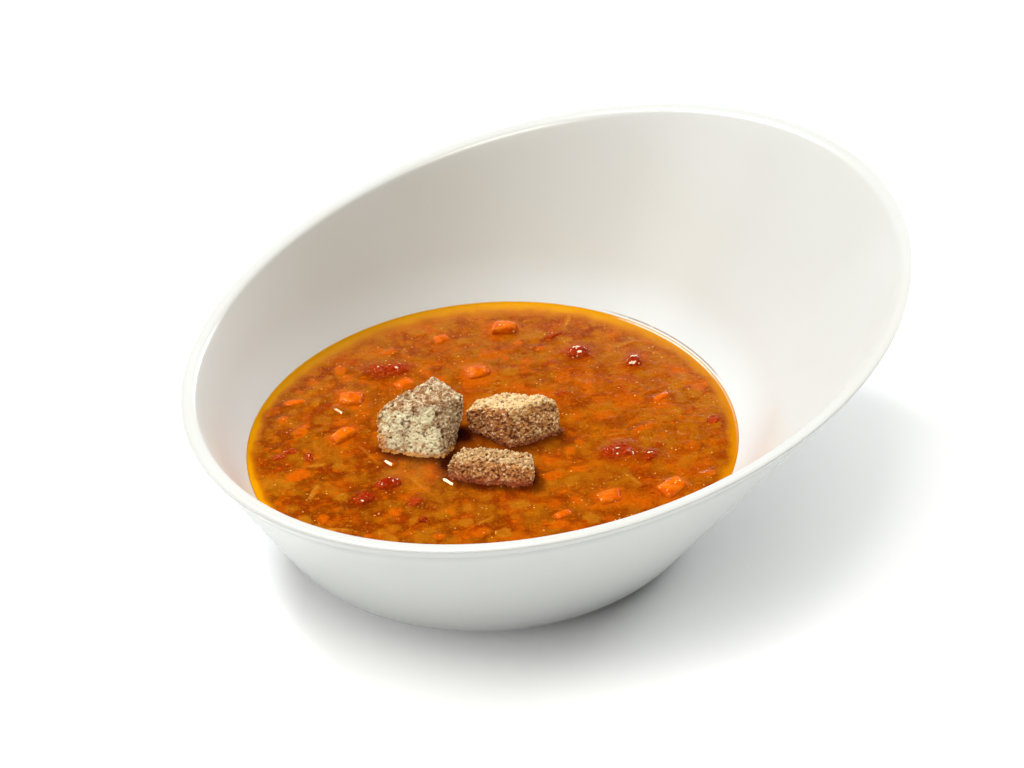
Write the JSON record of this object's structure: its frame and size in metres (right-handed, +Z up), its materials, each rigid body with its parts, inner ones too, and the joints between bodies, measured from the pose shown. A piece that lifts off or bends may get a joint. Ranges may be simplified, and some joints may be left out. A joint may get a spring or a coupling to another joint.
{
  "type": "bowl of spiced lentil soup",
  "caption": "White slanted bowl with a round rim and round foot, holding spiced lentil soup with bread croutons, carrot dice and tomato pieces.",
  "frame": {"origin": "on the table, under the middle of the object's box, which is the middle of the rim", "axes": "+Z up, +X towards the high side of the slanted rim, +Y across the bowl"},
  "size_m": [0.2036, 0.2072, 0.0834],
  "materials": {
    "porcelain": "glossy white glaze",
    "soup": "wet, oily surface with small bits",
    "crouton": "dry, porous toasted crumb",
    "carrot": "wet",
    "tomato": "wet"
  },
  "bodies": {
    "root": {"bowl": "porcelain", "soup": "soup", "crouton_left": "crouton", "crouton_right": "crouton", "crouton_front": "crouton", "carrot_back": "carrot", "carrot_middle": "carrot", "carrot_left_back": "carrot", "carrot_left": "carrot", "carrot_front": "carrot", "carrot_right_front": "carrot", "tomato_back_left": "tomato", "tomato_back": "tomato", "tomato_back_right": "tomato", "tomato_right": "tomato", "tomato_right_small": "tomato", "tomato_left_inner": "tomato", "tomato_left_outer": "tomato"}
  },
  "joints": []
}
